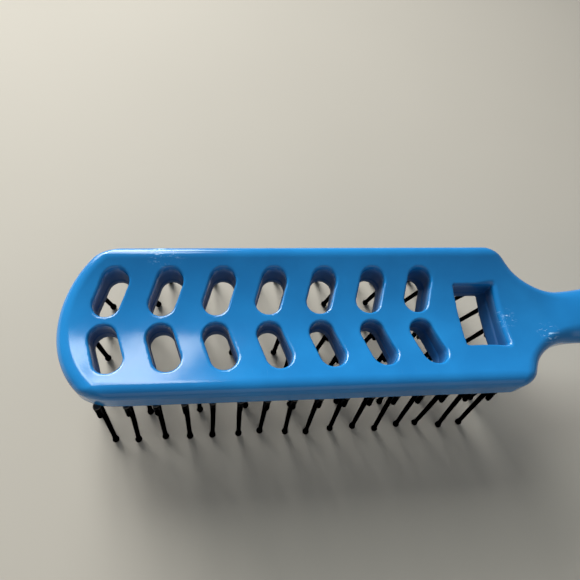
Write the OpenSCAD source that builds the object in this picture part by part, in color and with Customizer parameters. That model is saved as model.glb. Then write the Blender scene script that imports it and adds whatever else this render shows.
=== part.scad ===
// Vented hair brush: one moulded body with a head full of vents, and the nylon
// pin strips that are pressed into grooves in its underside.
// +X runs from the head to the handle, +Z up, pins down. The origin is the
// middle of the overall length and width, in the plane that the pin tips touch.

/* [Body] */
// Overall length, from the tip of the head to the end of the handle
overall_l = 232; // [226:1:240]
// Height of the deck, the head's upper face, above the pin tips on the centre line
deck_z = 31.8; // [30:0.2:34]
// Thickness of the head along its centre line
head_t = 8; // [7.6:0.1:8.6]
// Width of the head at the shoulders
head_w = 43.3; // [42.6:0.1:43.8]
// Width of the head at its tip
head_tip_w = 41.7; // [41.2:0.1:42.2]
// Radius of the long curve across the tip of the head
tip_r = 26; // [25:1:30]
// Radius of the head's corners in plan
corner_r = 4; // [3.5:0.5:6]
// Radius that rounds the deck into the sides
edge_r = 4; // [3.2:0.2:4.2]
// Radius of the hollow across the deck, whose long edges stand highest
dish_r = 52; // [50:1:70]
// Radius of the arch across the underside, which the pins stand square to
arch_r = 80; // [78:1:90]

/* [Neck and handle] */
// Distance from the head's tip to the start of the shoulders
shoulder_x = 124; // [123.8:0.1:124.6]
// Length over which the shoulders narrow
shoulder_l = 9; // [8:0.2:11]
// Width of the neck at its narrowest
neck_w = 16; // [15:0.2:17]
// Radius of the hollow curve from shoulder to neck
neck_r = 7; // [6:0.5:8]
// Thickness of the neck
neck_t = 10.4; // [10:0.2:11]
// Distance from the shoulders to the middle of the neck
neck_run = 9; // [8:0.5:10]
// Width of the handle at its thickest
grip_w = 23; // [22:0.5:26]
// Thickness of the handle at its thickest
grip_t = 14; // [13:0.5:16]
// Distance from the shoulders to the handle's thickest place
grip_run = 52; // [48:1:56]
// Depth of the handle's centre line below the deck
grip_drop = 2; // [1.8:0.1:3]
// Width of the flat round tab at the end of the handle
tab_w = 19; // [18:0.5:20]
// Thickness of that tab
tab_t = 8; // [7:0.5:9]
// Diameter of the hanging hole through the tab
hole_d = 6; // [5:0.5:7]

/* [Vents] */
// Distance between neighbouring vent columns
vent_pitch = 14; // [13.8:0.1:14.2]
// Number of vent columns
vent_columns = 7; // [6:1:7]
// Distance from the head's tip to the middle of the first column
first_vent = 13.3; // [13:0.1:14]
// Width of a vent between its walls
vent_w = 6.6; // [6:0.1:6.8]
// Distance from the centre line to a vent's inner wall
vent_in = 1.3; // [1.2:0.1:1.6]
// Distance from the centre line to a vent's outer wall
vent_out = 14.2; // [13.8:0.1:14.4]
// Slant of the vents and of the bars between them, as run per unit of width
slant = 0.32; // [0.28:0.01:0.34]
// Radius of the rounded lip around a vent
lip_r = 0.6; // [0.5:0.1:1]
// Length of the square window between the last vents and the shoulders
window_l = 12.3; // [11.5:0.1:12.5]
// Width of that window across the head
window_w = 18.4; // [17:0.2:19]
// Distance from the head's tip to the middle of the window
window_x = 114.3; // [113.8:0.1:114.5]
// How far the window's wall on the handle's side leans in below half its height
window_lean = 1.5; // [0:0.1:2]

/* [Pins] */
// Distance between neighbouring pins on a side strip
side_pitch = 7; // [6.8:0.05:7.1]
// Number of pins on a side strip
side_pins = 16; // [14:1:16]
// Distance from the head's tip to the first pin on a side strip
first_side_pin = 11.4; // [11:0.1:12]
// Distance from the centre line to the pins on a side strip
side_y = 18.8; // [18.5:0.1:18.9]
// Distance between neighbouring pins on a cross strip
cross_pitch = 6.55; // [6.4:0.05:6.6]
// Diameter of a pin at its root
pin_d = 1.5; // [1.3:0.1:1.6]
// Diameter of a pin just above its ball
pin_tip_d = 1.3; // [1.1:0.1:1.5]
// Diameter of the ball on a pin's tip
ball_d = 2; // [1.8:0.1:2.2]
// Distance from each pin to the stub beside it
stub_gap = 1.6; // [1.55:0.05:1.7]
// Height of a stub
stub_l = 5; // [4:0.5:6]
// Width of the foot that a pin and its stub share
foot_w = 1.8; // [1.7:0.1:2]
// Height of that foot below the underside
foot_t = 0.8; // [0.6:0.1:1.2]
// Thickness of a strip
strip_t = 1.8; // [1.5:0.1:2]
// Width of a cross strip
strip_w = 3; // [2.8:0.1:3.2]
// Distance from the head's tip to the nose strip
nose_x = 6.7; // [6.5:0.1:7]
// Distance from the window to the middle of the shoulder strip
heel_gap = 2.3; // [2.2:0.1:3]
// Distance from the middle of a slanted bar to its strip, towards the head's tip
bar_shift = 1; // [0:0.1:1.2]

/* [Hidden] */

body_colour = "#1d72b5";
pin_colour = "#1c1c1e";

tip_x = -overall_l / 2;
end_x = overall_l / 2;
base_z = deck_z - head_t;            // underside of the head on the centre line
arch_z = base_z + arch_r;            // axis of the arch, parallel to X
rim_y = head_w / 2 - edge_r;         // where the rounding of the rim starts
rim_z = deck_z + dish_r + edge_r - sqrt(pow(dish_r + edge_r, 2) - pow(rim_y, 2)); // its top
tab_x = end_x - tab_w / 2;           // axis of the hanging hole
grip_z = deck_z - grip_drop;         // height of the handle's own centre line
neck_x = tip_x + shoulder_x + shoulder_l; // where the shoulders end
palm_x = neck_x + (neck_run + grip_run) / 2;  // between the neck and the grip
swell = 0.88;                        // handle's size there, as a share of the grip's
face_w = 0.8 * tab_w;                // width of the tab's flat faces
vent_mid = (vent_in + vent_out) / 2; // where a column's stated place is measured
lip_z = deck_z + dish_r - sqrt(dish_r * dish_r - vent_mid * vent_mid); // the deck there
fit_gap = 0.05;                      // clearance of a strip in its groove
strip_edge = 1.1;                    // strip beyond its pins, across the head
strip_end = 2;                       // side strip beyond its end pins, along the head
through = 60;                        // longer than any cut has to be
heel_x = window_x + window_l / 2 + heel_gap; // shoulder strip, from the head's tip
fine = 96;
coarse = 28;

// ---- Body ----

// Plan of the head and the neck, rounded at its corners.
module head_plan() {
    offset(r = -neck_r, $fn = coarse)
        offset(delta = neck_r)
            offset(r = corner_r, $fn = coarse)
                offset(delta = -corner_r)
                    raw_plan();
}

// The same plan with sharp corners: the tapered head cut by the long curve of
// its tip, the shoulders, and the neck running under the handle.
module raw_plan() {
    intersection() {
        polygon([
            [tip_x - 1, head_tip_w / 2],
            [tip_x + shoulder_x, head_w / 2],
            [neck_x, neck_w / 2],
            [neck_x + 2 * neck_w, neck_w / 2],
            [neck_x + 2 * neck_w, -neck_w / 2],
            [neck_x, -neck_w / 2],
            [tip_x + shoulder_x, -head_w / 2],
            [tip_x - 1, -head_tip_w / 2],
        ]);
        union() {
            translate([tip_x + tip_r, 0])
                circle(tip_r, $fn = 2 * coarse);
            translate([tip_x + tip_r / 2, -head_w])
                square([overall_l, 2 * head_w]);
        }
    }
}

// The head as a slab of the full plan, as high as its rim and rounded there.
module head_slab() {
    minkowski() {
        translate([0, 0, base_z - 1])
            linear_extrude(rim_z - edge_r - base_z + 1)
                offset(delta = -edge_r)
                    head_plan();
        intersection() {
            sphere(edge_r, $fn = coarse);
            cylinder(h = edge_r, r = edge_r, $fn = coarse);
        }
    }
}

// Space between the hollow of the deck and the arch of the underside.
module head_section() {
    rotate([90, 0, 90])
        linear_extrude(2 * overall_l, center = true)
            difference() {
                translate([0, arch_z])
                    circle(arch_r, $fn = fine);
                translate([0, deck_z + dish_r])
                    circle(dish_r, $fn = fine);
            }
}

// A rounded bead, the handle's own section at one place along it.
module bead(x, w, t) {
    translate([x, 0, grip_z])
        scale([w, w, t] / 2)
            sphere(1, $fn = coarse);
}

// The handle, swelling from the neck to the grip and narrowing to the tab.
module handle() {
    hull() {
        bead(neck_x + neck_run, neck_w, neck_t);
        bead(palm_x, swell * grip_w, swell * grip_t);
        bead(neck_x + grip_run, grip_w, grip_t);
    }
    hull() {
        bead(neck_x + grip_run, grip_w, grip_t);
        translate([tab_x, 0, grip_z])
            cylinder(h = tab_t / 2, d = tab_w, center = true, $fn = coarse);
    }
}

// The flat round tab that carries the hanging hole.
module tab() {
    translate([tab_x, 0, grip_z - tab_t / 2])
        cylinder(h = tab_t, d = tab_w, $fn = fine);
}

// Clears the handle away above and below the tab, so its two faces are flat.
module tab_faces() {
    for (side = [-1, 1])
        translate([tab_x, 0, grip_z + side * (tab_t / 2 + through / 2)])
            cylinder(h = through, d = face_w, center = true, $fn = fine);
}

// Cross-section of half a vent: a straight wall that flares out at the lip.
module vent_half() {
    difference() {
        translate([0, base_z - 5])
            square([vent_w / 2 + lip_r, lip_z - base_z + 10]);
        translate([vent_w / 2, base_z - 6])
            square([2 * lip_r, lip_z - lip_r - base_z + 6]);
        translate([vent_w / 2 + lip_r, lip_z - lip_r])
            circle(lip_r, $fn = fine);
    }
}

// One vent: two round ends joined by a straight run along the slant.
module vent(x, side) {
    end_r = vent_w / 2;
    span = vent_out - vent_in - vent_w;
    reach = span * sqrt(1 + slant * slant);
    translate([x - slant * span / 2, side * (vent_in + end_r), 0])
        rotate([0, 0, side * atan2(span, slant * span)]) {
            for (at = [0, reach])
                translate([at, 0, 0])
                    rotate_extrude($fn = fine)
                        vent_half();
            rotate([90, 0, 90])
                linear_extrude(reach) {
                    vent_half();
                    mirror([1, 0])
                        vent_half();
                }
        }
}

function vent_x(column) = tip_x + first_vent + column * vent_pitch;

module vents() {
    for (column = [0 : vent_columns - 1], side = [-1, 1])
        vent(vent_x(column), side);
}

module window() {
    half = window_l / 2;
    translate([tip_x + window_x, window_w / 2, base_z])
        rotate([90, 0, 0])
            linear_extrude(window_w)
                polygon([
                    [-half, -head_t],
                    [-half, 2 * head_t],
                    [half, 2 * head_t],
                    [half, head_t / 2],
                    [half - window_lean, 0],
                    [half - window_lean, -head_t],
                ]);
}

module body() {
    color(body_colour)
        difference() {
            union() {
                intersection() {
                    head_slab();
                    head_section();
                }
                handle();
                tab();
            }
            vents();
            window();
            tab_faces();
            translate([tab_x, 0, 0])
                cylinder(h = through, d = hole_d, $fn = fine);
            side_base(-1, fit_gap);
            side_base(1, fit_gap);
            for (i = [0 : vent_columns + 1])
                cross_base(i, fit_gap);
        }
}

// ---- Pin strips ----

// Places whatever follows on the underside at (x, y), square to the arch, with
// -Z pointing out of the head.
module on_arch(x, y) {
    translate([x, 0, arch_z])
        rotate([asin(y / arch_r), 0, 0])
            translate([0, 0, -arch_r])
                children();
}

// A ball-tipped pin that reaches down to z = 0, the stub beside it, and the
// foot that joins them just below the underside.
module pin(x, y) {
    lean = asin(y / arch_r);
    pin_l = (arch_z - ball_d / 2) / cos(lean) - arch_r;
    root = strip_t / 2;
    on_arch(x, y) {
        translate([0, 0, -pin_l])
            cylinder(h = pin_l + root, d1 = pin_tip_d, d2 = pin_d, $fn = fine);
        translate([0, 0, -pin_l])
            sphere(d = ball_d, $fn = fine);
        translate([0, -stub_gap, -stub_l])
            cylinder(h = stub_l - foot_t / 2, d = pin_d, $fn = fine);
        translate([0, -stub_gap, -stub_l])
            sphere(d = pin_d, $fn = fine);
        translate([0, 0, -foot_t])
            linear_extrude(foot_t - fit_gap)
                foot_plan();
    }
}

module foot_plan() {
    circle(d = foot_w, $fn = fine);
    translate([-foot_w / 2, -stub_gap])
        square([foot_w, stub_gap]);
    translate([0, -stub_gap])
        circle(d = foot_w, $fn = fine);
}

// The layer of the underside that the strips fill, strip_t thick.
module arch_layer(gap) {
    rotate([90, 0, 90])
        linear_extrude(2 * overall_l, center = true)
            difference() {
                translate([0, arch_z])
                    circle(arch_r + gap, $fn = fine);
                translate([0, arch_z])
                    circle(arch_r - strip_t, $fn = fine);
                translate([-through, arch_z - arch_r / 2])
                    square([2 * through, 2 * arch_r]);
            }
}

// Base of a side strip. side is -1 on the near side, 1 on the far side.
module side_base(side, gap) {
    low = side * side_y - strip_edge - gap;
    high = side * side_y + strip_edge + gap;
    first = tip_x + first_side_pin - strip_end - gap;
    last = tip_x + first_side_pin + (side_pins - 1) * side_pitch + strip_end + gap;
    intersection() {
        arch_layer(gap);
        translate([first, low, 0])
            cube([last - first, high - low, through]);
    }
}

module side_strip(side) {
    color(pin_colour) {
        side_base(side, 0);
        for (i = [0 : side_pins - 1])
            pin(tip_x + first_side_pin + i * side_pitch, side * side_y);
    }
}

// Cross strips lie along the bars between the vents. The first and the last,
// ahead of the vents and behind the window, are straight.
function is_straight(i) = i == 0 || i == vent_columns + 1;
function strip_slant(i) = is_straight(i) ? 0 : slant;
function strip_x(i) =
    i == 0 ? tip_x + nose_x :
    i == vent_columns + 1 ? tip_x + heel_x :
    vent_x(i - 0.5) - slant * vent_mid - bar_shift;

// Base of a cross strip: a chevron, or a straight bar where the slant is none.
module cross_base(i, gap) {
    end = 2 * cross_pitch + strip_edge + gap;
    half = strip_w / 2 * sqrt(1 + strip_slant(i) * strip_slant(i)) + gap;
    x = strip_x(i);
    k = strip_slant(i);
    intersection() {
        arch_layer(gap);
        linear_extrude(through)
            polygon([
                [x - half + k * end, -end],
                [x - half, 0],
                [x - half + k * end, end],
                [x + half + k * end, end],
                [x + half, 0],
                [x + half + k * end, -end],
            ]);
    }
}

module cross_strip(i) {
    color(pin_colour) {
        cross_base(i, 0);
        for (row = [-2 : 2])
            pin(strip_x(i) + strip_slant(i) * abs(row) * cross_pitch, row * cross_pitch);
    }
}

body();
side_strip(-1);  // side_strip_near
side_strip(1);  // side_strip_far
cross_strip(0);  // nose_strip
cross_strip(1);  // cross_strip_1
cross_strip(2);  // cross_strip_2
cross_strip(3);  // cross_strip_3
cross_strip(4);  // cross_strip_4
cross_strip(5);  // cross_strip_5
cross_strip(6);  // cross_strip_6
cross_strip(7);  // cross_strip_7
cross_strip(8);  // shoulder_strip
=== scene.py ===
"""The vented hair brush, as it looks: a glossy blue moulding with black nylon pins underneath.

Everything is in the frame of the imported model. Lengths in this script are in millimetres until a
mesh is made, and MM turns them into metres. The stage, at the end, is in metres.
"""

import math

import bpy
import numpy as np
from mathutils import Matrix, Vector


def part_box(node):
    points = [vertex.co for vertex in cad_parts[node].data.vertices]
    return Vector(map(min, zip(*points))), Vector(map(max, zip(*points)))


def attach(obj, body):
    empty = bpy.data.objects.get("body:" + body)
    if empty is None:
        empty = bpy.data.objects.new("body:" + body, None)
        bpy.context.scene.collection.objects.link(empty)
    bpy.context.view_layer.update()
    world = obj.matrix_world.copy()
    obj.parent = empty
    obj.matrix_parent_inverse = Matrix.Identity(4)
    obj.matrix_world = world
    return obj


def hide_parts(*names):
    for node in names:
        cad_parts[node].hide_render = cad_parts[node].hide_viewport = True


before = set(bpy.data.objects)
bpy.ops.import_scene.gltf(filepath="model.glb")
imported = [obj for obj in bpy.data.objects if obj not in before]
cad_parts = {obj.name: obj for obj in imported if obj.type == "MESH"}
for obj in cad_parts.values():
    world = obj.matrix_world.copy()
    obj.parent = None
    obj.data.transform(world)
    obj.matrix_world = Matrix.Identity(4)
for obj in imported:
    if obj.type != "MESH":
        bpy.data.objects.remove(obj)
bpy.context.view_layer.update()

MM = 0.001
TINY = 1e-9

# ---- Sizes of the design, in millimetres ----

BODY_LOW, BODY_HIGH = (np.array(corner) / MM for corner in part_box("body"))
TIP_X = BODY_LOW[0]
END_X = BODY_HIGH[0]

DECK_Z = 31.8  # the head's upper face on the centre line
HEAD_T = 8.0
BASE_Z = DECK_Z - HEAD_T
HEAD_W = 43.3
HEAD_TIP_W = 41.7
TIP_R = 26.0
CORNER_R = 4.0  # at the shoulders
TIP_CORNER_R = 3.2
EDGE_R = 4.0
DISH_R = 52.0  # the deck is hollow across, so its long edges stand highest
DISH_REACH = 30.0  # well outside the head, from where the hollow is taken as level
ARCH_R = 80.0
ARCH_Z = BASE_Z + ARCH_R  # axis of the arch that the pins stand square to
RIM_R = 0.9  # rounding of the underside's edge
WALL_DRAFT = 0.03  # the head's side walls widen this much per unit of depth

SHOULDER_X = TIP_X + 124.0
SHOULDER_L = 9.0
NECK_X = SHOULDER_X + SHOULDER_L
NECK_W = 16.0
NECK_T = 10.4
NECK_R = 7.0
NECK_RUN = 9.0
NECK_BLEND = 24.0  # length over which the flat head turns into the round handle
GRIP_W = 23.0
GRIP_T = 14.0
GRIP_X = NECK_X + 52.0
GRIP_Z = DECK_Z - 2.0
TAB_W = 19.0
TAB_T = 8.0
TAB_X = END_X - TAB_W / 2
TAB_BLEND = 14.0
TAB_EDGE_R = 2.5
HOLE_R = 3.0
HOLE_LIP_R = 0.8
SQUARENESS = 2.4  # 2 would make the handle's section an ellipse
HANDLE_STEP = 0.5
HANDLE_TAPS = 20  # the handle's outline is smoothed over this many steps each way
HANDLE_MARGIN = 20.0  # and is drawn this far past both of its ends

VENT_PITCH = 14.0
VENT_COLUMNS = 7
FIRST_VENT_X = TIP_X + 13.3
VENT_R = 3.3
VENT_IN = 1.3
VENT_OUT = 14.2
SLANT = 0.32
LIP_R = 0.6
LOWER_LIP_R = 0.5
PARTING_Z = DECK_Z - 4.3  # height of the mould's parting line inside the vents
PARTING_LEDGE = 0.22
LEDGE_FADE = 0.7
VENT_DRAFT = 0.03
LEAN_FROM = TIP_X + 76.0  # from here on, the walls on the handle's side lean in at the bottom
LEAN_TO = TIP_X + 112.0
WALL_LEAN = 1.7

WINDOW_X = TIP_X + 114.3
WINDOW_L = 12.3
WINDOW_W = 18.4
WINDOW_CORNER_R = 0.4
WINDOW_LIP_R = 0.35
WINDOW_HEEL_LIP_R = 1.3  # the window's lip on the side of the handle

BALL_R = 1.0
PIN_R = 0.75
PIN_TIP_R = 0.65
PIN_FLARE = 0.22  # a pin is this much thicker where it meets its foot
PIN_FLARE_FADE = 0.35
PIN_BURIED = 1.0  # a pin starts this far above the underside, inside the head
STUB_GAP = 1.6
STUB_L = 5.0
STUB_FLARE = 0.18
STUB_FLARE_FADE = 0.3
POINT_ANGLE = 0.02  # in radians, how far short of its pole a ball stops
STUB_POINT_ANGLE = 0.03
FOOT_R = 0.9
FOOT_T = 0.8
STRIP_T = 1.8
CROSS_STRIP_R = 1.5
SIDE_STRIP_R = 1.1
STRIP_PROUD = 0.2  # a strip stands this far out of the underside
STRIP_EDGE_R = 0.15
FOOT_EDGE_R = 0.25
FOOT_FILLET_R = 0.3
PIN_SET = 0.35  # how far a pin's tip strays from straight, as a standard deviation
SIDE_BOW = 0.4  # how far the side pins are spread at the middle of a side strip
FAR_SPLAY = 1.3  # the far side pins are spread this much more, all along
BENT_SIDE_PINS = (1, 4, 6, 8, 13)  # near side pins bent towards the tip, counted from 0 there
BENT_BY = 0.6
PIN_LEAN = 1.05  # every pin's tip has crept this far towards the far side

HOLE_SHADE_FROM = 0.4  # below the deck, painted shade darkens the hole walls from this depth to the next
HOLE_SHADE_FULL = 3.5
DUST_FROM_Z = 8.0  # the pins get dustier from this height to the next
DUST_FULL_Z = 24.0
HAIRLINE_TURN = 0.5  # radians
SCUFF_TURN = -1.15

BODY_CELL = 0.45
STRIP_CELL = 0.3
STRIP_MARGIN = 2.0
MARGIN_CELLS = 3
SNAP_ROUNDS = 4
PIN_SIDES = 14
STUB_SIDES = 12
STEEPEST = 20.0  # the most that a swept bar's radius may change along it, for its normals


# ---- Distance fields: below 0 inside, in millimetres ----

def rounded_and(a, b, r):
    """What is inside both a and b, with the edge between them rounded to radius r."""
    return np.minimum(-r, np.maximum(a, b)) + np.hypot(np.maximum(r + a, 0), np.maximum(r + b, 0))


def rounded_or(a, b, r):
    """What is inside a or b, with the hollow between them filled to radius r."""
    return np.maximum(r, np.minimum(a, b)) - np.hypot(np.maximum(r - a, 0), np.maximum(r - b, 0))


def ease(t):
    """0 below 0, 1 above 1, and smooth in between."""
    t = np.clip(t, 0, 1)
    return t * t * (3 - 2 * t)


def mix(a, b, share):
    return a * (1 - share) + b * share


def capsule(x, y, start, end, r):
    """Distance in plan to a straight run with round ends."""
    along = np.array(end, float) - np.array(start, float)
    t = ((x - start[0]) * along[0] + (y - start[1]) * along[1]) / (along @ along)
    t = np.clip(t, 0, 1)
    return np.hypot(x - start[0] - t * along[0], y - start[1] - t * along[1]) - r


def deck_height(y):
    across = np.minimum(np.abs(y), DISH_REACH)
    return DECK_Z + DISH_R - np.sqrt(DISH_R * DISH_R - across ** 2)


def underside_height(y):
    return BASE_Z + y * y / (2 * ARCH_R)


def head_plan(x, y):
    """Plan of the head and the neck."""
    y = np.abs(y)
    side = y - mix(HEAD_TIP_W / 2, HEAD_W / 2, (x - TIP_X) / (SHOULDER_X - TIP_X))
    centre = TIP_X + TIP_R
    tip = np.where(x < centre, np.hypot(x - centre, y) - TIP_R, y - TIP_R)
    fall = (HEAD_W - NECK_W) / 2
    shoulder = (x - SHOULDER_X) * fall + (y - HEAD_W / 2) * SHOULDER_L
    shoulder = shoulder / math.hypot(fall, SHOULDER_L)
    head = rounded_and(rounded_and(side, tip, TIP_CORNER_R), shoulder, CORNER_R)
    neck = np.maximum(y - NECK_W / 2, SHOULDER_X - x)
    return rounded_or(head, neck, NECK_R)


def handle_half_sizes(x):
    """Half the handle's width and thickness along it, smoothed between a few stations."""
    neck_end = NECK_X + NECK_RUN
    stations = (
        (neck_end, NECK_W, NECK_T),
        ((neck_end + GRIP_X) / 2, 0.88 * GRIP_W, 0.9 * GRIP_T),
        (GRIP_X, GRIP_W, GRIP_T),
        (TAB_X - TAB_BLEND, 1.02 * TAB_W, 0.78 * GRIP_T),
        (END_X, 0.9 * TAB_W, 0.6 * GRIP_T),
    )
    places, widths, depths = zip(*stations)
    line = np.arange(NECK_X - HANDLE_MARGIN, END_X + HANDLE_MARGIN, HANDLE_STEP)
    kernel = np.hanning(2 * HANDLE_TAPS + 1)
    kernel = kernel / kernel.sum()
    sizes = []
    for values in (widths, depths):
        drawn = np.pad(np.interp(line, places, values), HANDLE_TAPS, "edge")
        smooth = np.convolve(drawn, kernel, "valid")
        sizes.append(np.interp(x, line, smooth) / 2)
    return sizes


def handle_solid(x, y, z):
    """The round handle, whose section is between an ellipse and a rectangle."""
    half_w, half_t = handle_half_sizes(x)
    across = (np.abs(y) / half_w) ** SQUARENESS + (np.abs(z - GRIP_Z) / half_t) ** SQUARENESS
    return (np.maximum(across, TINY) ** (1 / SQUARENESS) - 1) * np.minimum(half_w, half_t)


def tab_solid(x, y, z):
    """The flat round end of the handle."""
    plan = np.where(x < TAB_X, np.abs(y), np.hypot(x - TAB_X, y)) - TAB_W / 2
    return rounded_and(plan, np.abs(z - GRIP_Z) - TAB_T / 2, TAB_EDGE_R)


def vent_plan(x, y):
    """Plan of every vent. Both rows are the same, so one is drawn and mirrored."""
    y = np.abs(y)
    rise = VENT_OUT - VENT_IN - 2 * VENT_R
    nearest = np.inf
    for column in range(VENT_COLUMNS):
        middle = FIRST_VENT_X + column * VENT_PITCH
        start = (middle - SLANT * rise / 2, VENT_IN + VENT_R)
        end = (middle + SLANT * rise / 2, VENT_OUT - VENT_R)
        nearest = np.minimum(nearest, capsule(x, y, start, end, VENT_R))
    return nearest


def window_plan(x, y):
    along = np.abs(x - WINDOW_X) - WINDOW_L / 2
    across = np.abs(y) - WINDOW_W / 2
    return rounded_and(along, across, WINDOW_CORNER_R)


def moulded_wall(plan, z):
    """A hole's plan turned into walls with draft and the ledge that the mould's parting leaves."""
    ledge = PARTING_LEDGE * ease((PARTING_Z - z) / LEDGE_FADE)
    return plan - VENT_DRAFT * np.abs(z - PARTING_Z) + ledge


def lean_in(plan, x, y, z):
    """A hole's plan, narrowed from the handle's side below the parting line."""
    down = np.clip((PARTING_Z - z) / (PARTING_Z - BASE_Z), 0, 1)
    shift = WALL_LEAN * ease((x - LEAN_FROM) / (LEAN_TO - LEAN_FROM)) * down
    return np.maximum(plan(x, y), plan(x + shift, y))


def head_solids(x, y, z):
    """The head's slab, which runs on over the handle, and the same slab with its holes."""
    deck = z - deck_height(y)
    under = underside_height(y) - z
    slab = rounded_and(head_plan(x, y) + WALL_DRAFT * (z - BASE_Z), deck, EDGE_R)
    slab = rounded_and(slab, under, RIM_R)
    vents = moulded_wall(lean_in(vent_plan, x, y, z), z)
    window = moulded_wall(lean_in(window_plan, x, y, z), z)
    window_lip = mix(WINDOW_LIP_R, WINDOW_HEEL_LIP_R, ease((x - WINDOW_X) / (WINDOW_L / 2)))
    head = slab
    for hole, lip in ((vents, LIP_R), (window, window_lip)):
        head = np.maximum(head, rounded_and(deck, -hole, lip))
        head = np.maximum(head, rounded_and(under, -hole, LOWER_LIP_R))
    return slab, head


def body_solid(x, y, z):
    """The whole blue moulding."""
    slab, head = head_solids(x, y, z)
    to_handle = ease((x - NECK_X) / NECK_BLEND)
    to_tab = ease((x - (TAB_X - TAB_BLEND)) / TAB_BLEND)
    whole = np.where(x < NECK_X, head, mix(slab, handle_solid(x, y, z), to_handle))
    whole = mix(whole, tab_solid(x, y, z), to_tab)
    return rounded_and(whole, HOLE_R - np.hypot(x - TAB_X, y), HOLE_LIP_R)


# ---- Meshes from distance fields ----

def slope(distance, spots, step=0.05):
    """The field's gradient at each spot."""
    parts = []
    for axis in range(3):
        shift = np.zeros(3)
        shift[axis] = step
        ahead = distance(*(spots + shift).T)
        behind = distance(*(spots - shift).T)
        parts.append((ahead - behind) / (2 * step))
    return np.stack(parts, axis=1)


def unit(rows):
    """Each row at length 1."""
    return rows / np.maximum(np.linalg.norm(rows, axis=-1, keepdims=True), TINY)


def crossings(value, axis):
    """The grid edges along an axis that the surface crosses.

    Gives the first corner of each, where it is crossed, and whether that corner is inside.
    """
    first = np.take(value, range(value.shape[axis] - 1), axis)
    second = np.take(value, range(1, value.shape[axis]), axis)
    corner = np.argwhere((first < 0) != (second < 0))
    here = first[tuple(corner.T)]
    there = second[tuple(corner.T)]
    spot = corner.astype(float)
    spot[:, axis] += here / (here - there)
    return corner, spot, here < 0


def cells_around(corner, axis, cells):
    """The numbers of the four cells around each grid edge, in the order of a turn about it."""
    across = [(axis + 1) % 3, (axis + 2) % 3]
    ring = []
    for back in ((0, 0), (1, 0), (1, 1), (0, 1)):
        place = corner.copy()
        place[:, across] -= back
        ring.append(np.ravel_multi_index(place.T, cells))
    return np.stack(ring, axis=1)


def snapped(distance, spots, cell):
    """Spots moved down the field's gradient onto the surface."""
    for _ in range(SNAP_ROUNDS):
        steep = slope(distance, spots)
        length = np.maximum((steep * steep).sum(axis=1), 0.25)
        move = -steep * (distance(*spots.T) / length)[:, None]
        spots = spots + np.clip(move, -cell / 2, cell / 2)
    return spots


def surface_net(distance, low, high, cell):
    """Vertices, normals and quads of the surface where the field is 0, one vertex to a grid cell."""
    margin = MARGIN_CELLS * cell
    axes = [np.arange(a - margin, b + margin + cell, cell) for a, b in zip(low, high)]
    value = distance(*np.ix_(*axes))
    value = np.broadcast_to(value, [len(axis) for axis in axes])
    cells = np.array(value.shape) - 1
    count = np.zeros(cells.prod())
    total = np.zeros((cells.prod(), 3))
    rings = []
    for axis in range(3):
        corner, spot, inside = crossings(value, axis)
        ring = cells_around(corner, axis, cells)
        for flat in ring.T:
            count += np.bincount(flat, minlength=len(count))
            for part in range(3):
                total[:, part] += np.bincount(flat, spot[:, part], len(count))
        rings.append(np.where(inside[:, None], ring, ring[:, ::-1]))
    used = np.flatnonzero(count)
    number = np.zeros(len(count), int)
    number[used] = np.arange(len(used))
    spots = total[used] / count[used, None] * cell + [axis[0] for axis in axes]
    spots = snapped(distance, spots, cell)
    return spots, unit(slope(distance, spots)), number[np.concatenate(rings)]


def sweep(spine, radii, sides):
    """Vertices, normals and quads of a round bar along a nearly straight spine.

    The bar has no caps: its radii bring it almost to a point wherever an end shows.
    """
    along = unit(np.gradient(spine, axis=0))
    across = unit(np.cross(along, [1.0, 0.0, 0.0]))
    third = np.cross(along, across)
    turn = (np.arange(sides) * 2 * math.pi / sides)[None, :, None]
    out = np.cos(turn) * across[:, None] + np.sin(turn) * third[:, None]
    spots = (spine[:, None] + out * radii[:, None, None]).reshape(-1, 3)
    run = np.linalg.norm(np.diff(spine, axis=0), axis=1)
    place = np.concatenate([[0], np.cumsum(run)])
    taper = np.clip(np.gradient(radii, place), -STEEPEST, STEEPEST)
    normals = unit((out - taper[:, None, None] * along[:, None]).reshape(-1, 3))
    rings = np.arange(len(spine) * sides).reshape(len(spine), sides)
    a, b = rings[:-1], rings[1:]
    quads = np.stack([a, b, np.roll(b, -1, axis=1), np.roll(a, -1, axis=1)], axis=-1)
    return spots, normals, quads.reshape(-1, 4)


def joined(*meshes):
    """Several meshes as one."""
    start = np.cumsum([0] + [len(spots) for spots, _, _ in meshes[:-1]])
    spots = np.concatenate([mesh[0] for mesh in meshes])
    normals = np.concatenate([mesh[1] for mesh in meshes])
    quads = np.concatenate([mesh[2] + first for mesh, first in zip(meshes, start)])
    return spots, normals, quads


def add_piece(name, mesh, node, material):
    """Puts a mesh in the scene as a smooth piece that stands for a CAD node."""
    spots, normals, quads = mesh
    data = bpy.data.meshes.new(name)
    data.from_pydata((spots * MM).tolist(), [], quads.tolist())
    data.polygons.foreach_set("use_smooth", [True] * len(data.polygons))
    data.normals_split_custom_set_from_vertices(normals.tolist())
    data.materials.append(material)
    piece = bpy.data.objects.new(name, data)
    bpy.context.scene.collection.objects.link(piece)
    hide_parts(node)
    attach(piece, "root")
    return piece


# ---- Materials ----

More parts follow.
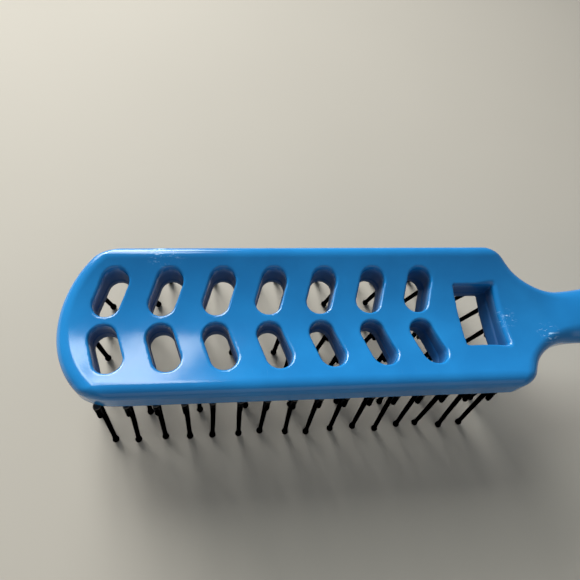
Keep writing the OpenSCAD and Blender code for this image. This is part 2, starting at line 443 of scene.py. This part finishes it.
class Nodes:
    """A material's nodes, made and linked in short calls."""

    def __init__(self, name):
        self.material = bpy.data.materials.new(name)
        self.material.use_nodes = True
        self.tree = self.material.node_tree
        self.shader = self.tree.nodes["Principled BSDF"]
        self.place = self.add("ShaderNodeTexCoord").outputs["Object"]

    def add(self, kind, **settings):
        node = self.tree.nodes.new(kind)
        for key, value in settings.items():
            setattr(node, key, value)
        return node

    def link(self, source, target):
        self.tree.links.new(source, target)

    def feed(self, socket, value):
        """Sets a socket to a number, or links it to another node's output."""
        if isinstance(value, bpy.types.NodeSocket):
            self.link(value, socket)
        else:
            socket.default_value = value

    def math(self, operation, a, b=0.0, clamp=False):
        node = self.add("ShaderNodeMath", operation=operation, use_clamp=clamp)
        self.feed(node.inputs[0], a)
        self.feed(node.inputs[1], b)
        return node.outputs[0]

    def noise(self, scale, detail=3.0, roughness=0.5, place=None):
        node = self.add("ShaderNodeTexNoise")
        self.link(place or self.place, node.inputs["Vector"])
        node.inputs["Scale"].default_value = scale
        node.inputs["Detail"].default_value = detail
        node.inputs["Roughness"].default_value = roughness
        return node.outputs["Fac"]

    def stretched(self, turn, scale):
        """Object coordinates scaled and turned about Z, for marks that run one way."""
        node = self.add("ShaderNodeMapping")
        self.link(self.place, node.inputs["Vector"])
        node.inputs["Rotation"].default_value = (0, 0, turn)
        node.inputs["Scale"].default_value = scale
        return node.outputs["Vector"]

    def band(self, value, low, high):
        """0 at low and 1 at high, whichever is the greater, level outside them and smooth between."""
        node = self.add("ShaderNodeMapRange", interpolation_type="SMOOTHSTEP")
        self.link(value, node.inputs["Value"])
        node.inputs["From Min"].default_value = low
        node.inputs["From Max"].default_value = high
        return node.outputs["Result"]

    def blend(self, share, a, b):
        """Colour a where share is 0, and b where it is 1."""
        node = self.add("ShaderNodeMix", data_type="RGBA")
        self.feed(node.inputs["Factor"], share)
        self.feed(node.inputs["A"], a)
        self.feed(node.inputs["B"], b)
        return node.outputs["Result"]

    def near(self, spot, radius):
        """1 at a spot, falling to 0 at a radius, all in millimetres."""
        node = self.add("ShaderNodeVectorMath", operation="DISTANCE")
        self.link(self.place, node.inputs[0])
        node.inputs[1].default_value = [value * MM for value in spot]
        return self.band(node.outputs["Value"], radius * MM, 0.0)

    def bump(self, height, strength, distance, under=None):
        """A normal bumped by height, on top of the normal under. distance is in millimetres."""
        node = self.add("ShaderNodeBump")
        self.link(height, node.inputs["Height"])
        node.inputs["Strength"].default_value = strength
        node.inputs["Distance"].default_value = distance * MM
        if under is not None:
            self.link(under, node.inputs["Normal"])
        return node.outputs["Normal"]


def inside_holes(n):
    """Where shade is painted and the roughness raised: 1 on the walls of the vents and the window, and
    on the underside between them.
    """
    far_out = VENT_OUT + 1.5
    ahead_of_vents = TIP_X + 5
    past_window = SHOULDER_X - 2
    place = n.add("ShaderNodeSeparateXYZ")
    n.link(n.place, place.inputs[0])
    across = n.math("ABSOLUTE", place.outputs["Y"])
    bowl = n.math("MULTIPLY", n.math("MULTIPLY", across, across), 1 / (2 * DISH_R * MM))
    depth = n.math("SUBTRACT", n.math("ADD", bowl, DECK_Z * MM), place.outputs["Z"])
    inner = n.band(across, (far_out + 1) * MM, far_out * MM)
    before_neck = n.band(place.outputs["X"], (past_window + 1) * MM, past_window * MM)
    behind_tip = n.band(place.outputs["X"], ahead_of_vents * MM, (ahead_of_vents + 2) * MM)
    head = n.math("MULTIPLY", inner, n.math("MULTIPLY", before_neck, behind_tip))
    return n.math("MULTIPLY", n.band(depth, HOLE_SHADE_FROM * MM, HOLE_SHADE_FULL * MM), head)


def worn_spots(n):
    """1 at the places where the brush gets knocked: by the window, on the neck and on the far rim."""
    heel = (WINDOW_X + WINDOW_L / 2 + 1.6, -1.2, DECK_Z)
    neck = (NECK_X + 0.4, -6.2, DECK_Z + 0.6)
    rim = (TIP_X + 27, HEAD_TIP_W / 2 - 1.0, DECK_Z + 2.6)
    worn = n.math("MAXIMUM", n.near(heel, 3.6), n.near(neck, 4.2))
    return n.math("MAXIMUM", worn, n.near(rim, 7.0))


def scratch_marks(n):
    """Faint hairline scratches in patches, with short pale dashes and flecks at the worn spots."""
    fine_grain = n.stretched(HAIRLINE_TURN, (2600, 120, 400))
    hairlines = n.noise(scale=1, detail=5, roughness=0.6, place=fine_grain)
    patches = n.band(n.noise(scale=70, detail=2), 0.5, 0.75)
    scratches = n.math("MULTIPLY", n.band(hairlines, 0.66, 0.74), patches)
    coarse_grain = n.stretched(SCUFF_TURN, (420, 1500, 300))
    dashes = n.noise(scale=1, detail=3, roughness=0.6, place=coarse_grain)
    flecks = n.band(n.noise(scale=1400, detail=3, roughness=0.7), 0.6, 0.68)
    worn = worn_spots(n)
    scuffs = n.math("MULTIPLY", n.band(dashes, 0.56, 0.64), worn)
    scuffs = n.math("ADD", scuffs, n.math("MULTIPLY", flecks, n.math("MULTIPLY", worn, 0.6)), True)
    return n.math("ADD", n.math("MULTIPLY", scratches, 0.12), scuffs, True)


def blue_plastic():
    """Glossy moulded plastic with faint flow marks, scratches and scuffs, and hole walls that are
    duller and darkened with painted shade.
    """
    n = Nodes("blue_plastic")
    deep = (0.008, 0.168, 0.43, 1)
    bright = (0.012, 0.212, 0.52, 1)
    pale = (0.35, 0.58, 0.82, 1)
    # painted shade: the dark navy that the hole walls are blended towards
    hole_shade = (0.001, 0.035, 0.14, 1)
    marks = scratch_marks(n)
    hidden = inside_holes(n)
    flow = n.band(n.noise(scale=45, detail=4), 0.35, 0.7)
    base = n.blend(flow, deep, bright)
    # painted shade, deepest low in the vents and the window
    base = n.blend(n.math("MULTIPLY", hidden, 0.7), base, hole_shade)
    n.link(n.blend(marks, base, pale), n.shader.inputs["Base Color"])
    rough = n.math("ADD", 0.09, n.math("MULTIPLY", n.noise(scale=160, detail=4), 0.12))
    rough = n.math("ADD", rough, n.math("MULTIPLY", hidden, 0.4))
    rough = n.math("ADD", rough, n.math("MULTIPLY", marks, 0.35), True)
    n.link(rough, n.shader.inputs["Roughness"])
    n.shader.inputs["IOR"].default_value = 1.5
    sink = n.bump(n.noise(scale=90, detail=2), strength=0.35, distance=0.12)
    skin = n.bump(n.noise(scale=1100, detail=2), strength=0.12, distance=0.02, under=sink)
    scored = n.bump(marks, strength=0.25, distance=0.03, under=skin)
    n.link(scored, n.shader.inputs["Normal"])
    return n.material


def black_nylon():
    """Satin black nylon with patches of dust, which are thicker near the roots of the pins."""
    n = Nodes("black_nylon")
    fresh = (0.017, 0.0145, 0.012, 1)
    dusty = (0.032, 0.028, 0.022, 1)
    place = n.add("ShaderNodeSeparateXYZ")
    n.link(n.place, place.inputs[0])
    towards_root = n.band(place.outputs["Z"], DUST_FROM_Z * MM, DUST_FULL_Z * MM)
    share = n.math("ADD", 0.35, n.math("MULTIPLY", towards_root, 0.65))
    dust = n.math("MULTIPLY", n.noise(scale=300, detail=4), share)
    n.link(n.blend(dust, fresh, dusty), n.shader.inputs["Base Color"])
    n.link(n.math("ADD", 0.3, n.math("MULTIPLY", dust, 0.35)), n.shader.inputs["Roughness"])
    n.shader.inputs["IOR"].default_value = 1.53
    skin = n.bump(n.noise(scale=1800, detail=2), strength=0.2, distance=0.03)
    n.link(skin, n.shader.inputs["Normal"])
    return n.material


def pale_floor():
    """Matt pale cloth colour, a little uneven."""
    n = Nodes("pale_floor")
    darker = (0.44, 0.407, 0.348, 1)
    lighter = (0.50, 0.463, 0.397, 1)
    n.link(n.blend(n.noise(scale=6), darker, lighter), n.shader.inputs["Base Color"])
    n.shader.inputs["Roughness"].default_value = 0.9
    n.shader.inputs["Specular IOR Level"].default_value = 0.2
    return n.material


# ---- Pin strips ----

def ball_centres(node):
    """The middle of each pin's ball, read from the strip's own mesh."""
    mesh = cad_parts[node].data
    spots = np.empty(len(mesh.vertices) * 3)
    mesh.vertices.foreach_get("co", spots)
    spots = spots.reshape(-1, 3) / MM
    low = spots[spots[:, 2] < 2 * BALL_R, :2]
    centres = []
    while len(low):
        mine = np.hypot(*(low - low[0]).T) < 3 * BALL_R
        centres.append((low[mine].min(axis=0) + low[mine].max(axis=0)) / 2)
        low = low[~mine]
    return sorted((x, y, BALL_R) for x, y in centres)


def pin_root(ball):
    """Where a pin leaves the underside. Pins point away from the arch's axis."""
    axis = np.array([ball[0], 0, ARCH_Z])
    out = np.array(ball) - axis
    return axis + out * ARCH_R / np.linalg.norm(out)


def flared(shaft, most, fade):
    """How much thicker a pin or stub is along its shaft, where it grows out of the foot."""
    return most * np.exp(-np.maximum(shaft - FOOT_T, 0) / fade)


def pin_mesh(root, ball, bend):
    """A tapering pin with its ball. bend moves the tip and leaves the root."""
    length = np.linalg.norm(ball - root)
    out = (ball - root) / length
    base = FOOT_T + np.array([0, 0.2, 0.5, 0.9, 1.5])
    straight = np.linspace(4, length - 1.4, 9)
    shaft = np.concatenate([[-PIN_BURIED, 0.0], base, straight])
    radii = PIN_R + (PIN_TIP_R - PIN_R) * np.clip(shaft, 0, length) / length
    radii = radii + flared(shaft, PIN_FLARE, PIN_FLARE_FADE)
    turn = np.linspace(math.asin(PIN_TIP_R / BALL_R), math.pi - POINT_ANGLE, 11)
    places = np.concatenate([shaft, length - BALL_R * np.cos(turn)])
    radii = np.concatenate([radii, BALL_R * np.sin(turn)])
    spine = root + places[:, None] * out
    spine[:, :2] += np.clip(places / length, 0, 1.1)[:, None] ** 2 * bend
    return sweep(spine, radii, PIN_SIDES)


def stub_mesh(root, out):
    """The short round-ended stub beside a pin, towards -Y."""
    aside = np.cross(out, [1.0, 0.0, 0.0])
    aside = aside * (STUB_GAP if aside[1] < 0 else -STUB_GAP)
    shaft = np.array([FOOT_T / 2, FOOT_T, FOOT_T + 0.5, STUB_L - 0.2])
    turn = np.linspace(0.0, math.pi / 2 - STUB_POINT_ANGLE, 7)
    places = np.concatenate([shaft, STUB_L + PIN_R * np.sin(turn)])
    flare = flared(shaft, STUB_FLARE, STUB_FLARE_FADE)
    radii = np.concatenate([PIN_R + flare, PIN_R * np.cos(turn)])
    return sweep(root + aside + places[:, None] * out, radii, STUB_SIDES)


def strip_base(roots, half_w):
    """The bar that joins the pins of a strip, and the foot of each pin, as a distance field."""
    def solid(x, y, z):
        plan = np.inf
        feet = np.inf
        for start, end in zip(roots[:-1], roots[1:]):
            plan = np.minimum(plan, capsule(x, y, start[:2], end[:2], half_w))
        for root in roots:
            feet = np.minimum(feet, capsule(x, y, root[:2], root[:2] - [0, STUB_GAP], FOOT_R))
        under = underside_height(y)
        bar = np.maximum(under - STRIP_PROUD - z, z - under - STRIP_T / 2)
        bar = rounded_and(plan, bar, STRIP_EDGE_R)
        foot = np.maximum(under - FOOT_T - z, z - under - STRIP_PROUD)
        foot = rounded_and(feet, foot, FOOT_EDGE_R)
        return rounded_or(bar, foot, FOOT_FILLET_R)
    return solid


def pin_bend(node, index, along, side, chance):
    """How far a pin's tip strays in X and Y. along runs from 0 to 1 over the strip."""
    bend = chance.normal(0, PIN_SET, 2)
    if "side" in node:
        bend[1] += math.copysign(SIDE_BOW * math.sin(math.pi * along), side)
    if node == "side_strip_far":
        bend[1] = abs(bend[1]) / 2 + FAR_SPLAY
    if node == "side_strip_near":
        bend[0] = -BENT_BY if index in BENT_SIDE_PINS else bend[0] / 3
    return bend


def add_strip(node, material, chance):
    """One strip: its bar, its feet, and a pin and a stub at each foot."""
    balls = ball_centres(node)
    if "side" in node:
        half_w = SIDE_STRIP_R
    else:
        half_w = CROSS_STRIP_R
        balls = sorted(balls, key=lambda ball: ball[1])
    balls = [np.array(ball) for ball in balls]
    roots = [pin_root(ball) for ball in balls]
    low = np.min(roots, axis=0) - STRIP_MARGIN - [0, STUB_GAP, 0]
    high = np.max(roots, axis=0) + STRIP_MARGIN
    meshes = [surface_net(strip_base(roots, half_w), low, high, STRIP_CELL)]
    for index, (root, ball) in enumerate(zip(roots, balls)):
        bend = pin_bend(node, index, index / (len(roots) - 1), ball[1], chance)
        meshes.append(stub_mesh(root, (ball - root) / np.linalg.norm(ball - root)))
        meshes.append(pin_mesh(root, ball + [0, PIN_LEAN, 0], bend))
    return add_piece(node + "_pins", joined(*meshes), node, material)


# ---- The object ----

def add_body():
    mesh = surface_net(body_solid, BODY_LOW, BODY_HIGH, BODY_CELL)
    return add_piece("brush_body", mesh, "body", blue_plastic())


def add_strips():
    nylon = black_nylon()
    chance = np.random.default_rng(seed=5)
    for name in sorted(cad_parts):
        if name != "body":
            add_strip(name, nylon, chance)


add_body()
add_strips()


# ---- The stage, in metres ----

FLOOR_SIZE = 6.0
SKY_COLOUR = (0.86, 0.93, 1.0, 1)
SKY_STRENGTH = 0.2
CAMERA_SPOT = (-0.0743, -0.0494, 0.1478)
CAMERA_TURN = (26.71, -7.17, -4.15)  # degrees
CAMERA_LENS = 29.51  # millimetres


def add_floor():
    bpy.ops.mesh.primitive_plane_add(size=FLOOR_SIZE)
    floor = bpy.context.object
    floor.name = "floor"
    floor.data.materials.append(pale_floor())


def set_sky():
    world = bpy.data.worlds.new("room")
    world.use_nodes = True
    background = world.node_tree.nodes["Background"]
    background.inputs["Color"].default_value = SKY_COLOUR
    background.inputs["Strength"].default_value = SKY_STRENGTH
    bpy.context.scene.world = world


def add_light(name, spot, aim, size, power, colour, spread):
    """A soft box at spot that points at aim. power is in watts, and spread is its beam in degrees."""
    light = bpy.data.lights.new(name, "AREA")
    light.shape = "RECTANGLE"
    light.size, light.size_y = size
    light.energy = power
    light.color = colour
    light.spread = math.radians(spread)
    box = bpy.data.objects.new(name, light)
    bpy.context.scene.collection.objects.link(box)
    away = np.array(spot, float) - np.array(aim, float)
    box.location = spot
    pitch = math.atan2(math.hypot(away[0], away[1]), away[2])
    box.rotation_euler = (pitch, 0, math.atan2(away[1], away[0]) + math.pi / 2)


def add_lights():
    """Daylight from the far left, two panes that show in the gloss, and a weak near bounce."""
    for pane in (-0.38, -0.20):
        add_light(
            "window_pane",
            spot=(pane, 0.50, 0.56),
            aim=(pane + 0.19, 0.0, 0.0),
            size=(0.14, 0.34),
            power=0.3,
            colour=(0.95, 1.0, 1.0),
            spread=80,
        )
    add_light(
        "daylight",
        spot=(-0.42, 0.66, 0.31),
        aim=(-0.12, 0.0, 0.0),
        size=(0.7, 0.4),
        power=2.9,
        colour=(1.0, 1.0, 1.0),
        spread=80,
    )
    add_light(
        "bounce",
        spot=(0.05, -0.65, 0.34),
        aim=(-0.05, 0.0, 0.0),
        size=(0.9, 0.6),
        power=0.45,
        colour=(0.97, 0.98, 1.0),
        spread=120,
    )


def add_camera():
    """The photograph's viewpoint: above the near side of the head, looking down steeply."""
    camera = bpy.data.cameras.new("camera")
    camera.lens = CAMERA_LENS
    camera.clip_start = 0.01
    viewer = bpy.data.objects.new("camera", camera)
    bpy.context.scene.collection.objects.link(viewer)
    viewer.location = CAMERA_SPOT
    viewer.rotation_euler = [math.radians(turn) for turn in CAMERA_TURN]
    bpy.context.scene.camera = viewer


add_floor()
set_sky()
add_lights()
add_camera()
bpy.context.scene.view_settings.view_transform = "Standard"
